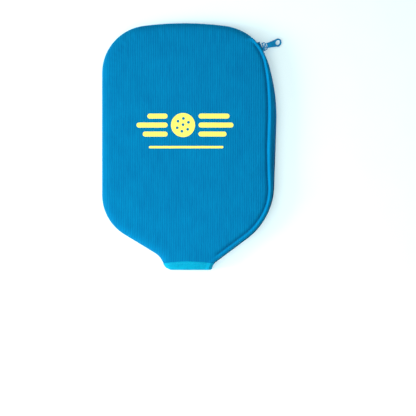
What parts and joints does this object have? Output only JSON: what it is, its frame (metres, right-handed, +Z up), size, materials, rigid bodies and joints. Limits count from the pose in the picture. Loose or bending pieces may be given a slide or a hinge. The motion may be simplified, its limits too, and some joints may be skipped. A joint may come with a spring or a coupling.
{
  "type": "paddle case",
  "caption": "Padded neoprene sleeve for a pickleball paddle, with a bound mouth for the handle and a zipper round one side that lets the front panel fold open.",
  "frame": {"origin": "middle of the flat back face, on the plane that the case rests on", "axes": "+Z up out of the front panel, +Y along the case away from the mouth, +X across towards the zipper"},
  "size_m": [0.2338, 0.3199, 0.0243],
  "materials": {
    "panel_knit": "ribbed knit over neoprene",
    "lining": "plain knit",
    "binding": "smooth elastic knit binding",
    "seam_tape": "woven tape",
    "zipper_tape": "woven tape",
    "zipper_coil": "nylon coil",
    "slider_paint": "satin paint",
    "thread": "polyester thread",
    "print_ink": "heat-transfer film"
  },
  "bodies": {
    "case": {"back_panel": "panel_knit", "back_lining": "lining", "front_panel": "panel_knit", "front_lining": "lining", "mouth_band_back": "binding", "mouth_band_fixed": "binding", "seam_tape": "seam_tape", "zipper_tape_back": "zipper_tape", "zipper_coil_back": "zipper_coil", "mouth_stop_back": "zipper_coil", "zipper_top_stop": "zipper_coil", "front_print": "print_ink"},
    "flap": {"flap_panel": "panel_knit", "flap_lining": "lining", "mouth_band_flap": "binding", "zipper_tape_front": "zipper_tape", "zipper_coil_front": "zipper_coil", "mouth_stop_front": "zipper_coil", "topstitch_flap": "thread", "mouth_stitching": "thread", "flap_print": "print_ink"},
    "slider": {"slider_body": "slider_paint", "slider_bridge": "slider_paint"},
    "pull": {"slider_pull": "slider_paint"}
  },
  "joints": [
    {"name": "flap_fold", "type": "hinge", "parent": "case", "child": "flap", "pos_m": [-0.031, -0.16, 0.024], "axis": [-0.346, -0.9382, 0], "range_deg": [0, 70]},
    {"name": "slider_run", "type": "hinge", "parent": "case", "child": "slider", "pos_m": [-0.12445, 0.0387, 0.012], "axis": [0, 0, -1], "range_deg": [0, 22.5]},
    {"name": "pull_swing", "type": "hinge", "parent": "slider", "child": "pull", "pos_m": [0.10175, 0.131, 0.012], "axis": [0.3778, -0.9259, 0], "range_deg": [0, 105]}
  ]
}
